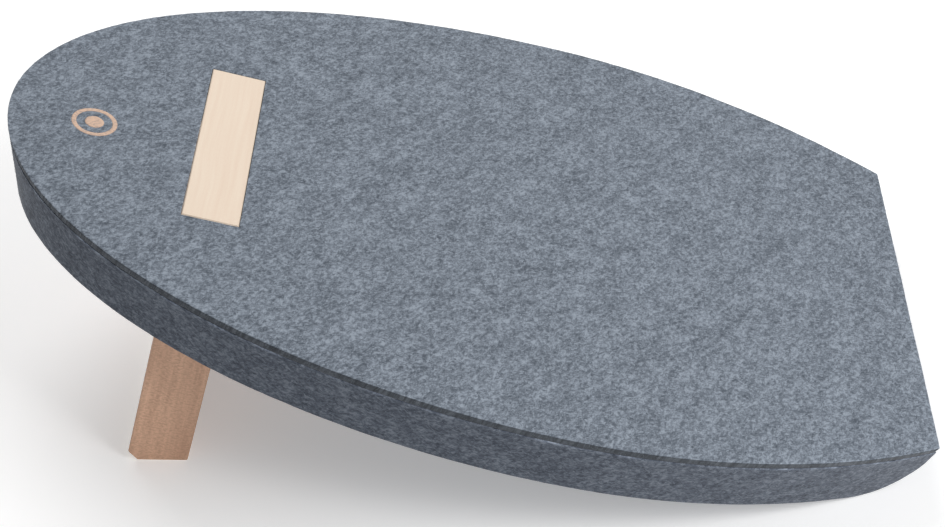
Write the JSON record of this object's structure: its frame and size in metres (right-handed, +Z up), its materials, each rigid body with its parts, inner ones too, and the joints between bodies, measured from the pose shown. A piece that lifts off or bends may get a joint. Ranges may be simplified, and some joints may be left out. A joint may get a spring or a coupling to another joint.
{
  "type": "inclined balance board",
  "caption": "Felt-covered standing board of half-ellipse plan that slopes from a plug-in plank leg to its own rounded heel.",
  "frame": {"origin": "on the floor, in the middle of the object's length and width as it stands", "axes": "+X from the raised nose towards the low tail, +Y across the board, +Z up"},
  "size_m": [0.4836, 0.348, 0.1609],
  "materials": {
    "top_felt": "matte",
    "side_felt": "matte",
    "base_felt": "matte",
    "print": "matte",
    "plywood": "matte",
    "pine": "matte",
    "beech": "satin",
    "honeycomb": "matte",
    "screw_steel": "satin",
    "rubber": "matte"
  },
  "bodies": {
    "board": {"top_felt": "top_felt", "top_mark": "print", "rail_felt": "side_felt", "base_felt": "base_felt", "deck_panel": "plywood", "base_panel": "plywood", "nose_rail": "pine", "rail_left": "pine", "rail_right": "pine", "tail_block": "pine", "cross_rail_front": "pine", "cross_rail_rear": "pine", "mortise_cheek_left": "pine", "mortise_cheek_right": "pine", "stringer": "pine", "core_front": "honeycomb", "core_rear_left": "honeycomb", "core_rear_right": "honeycomb", "deck_screws": "screw_steel", "base_screws": "screw_steel", "frame_dowels": "beech", "heel_grip": "rubber"},
    "leg": {"leg_plank": "beech", "foot_grip": "rubber"}
  },
  "joints": [
    {"name": "leg_pull", "type": "slide", "parent": "board", "child": "leg", "axis": [-0.2588, 0, -0.9659], "range_m": [0, 0.06]}
  ]
}
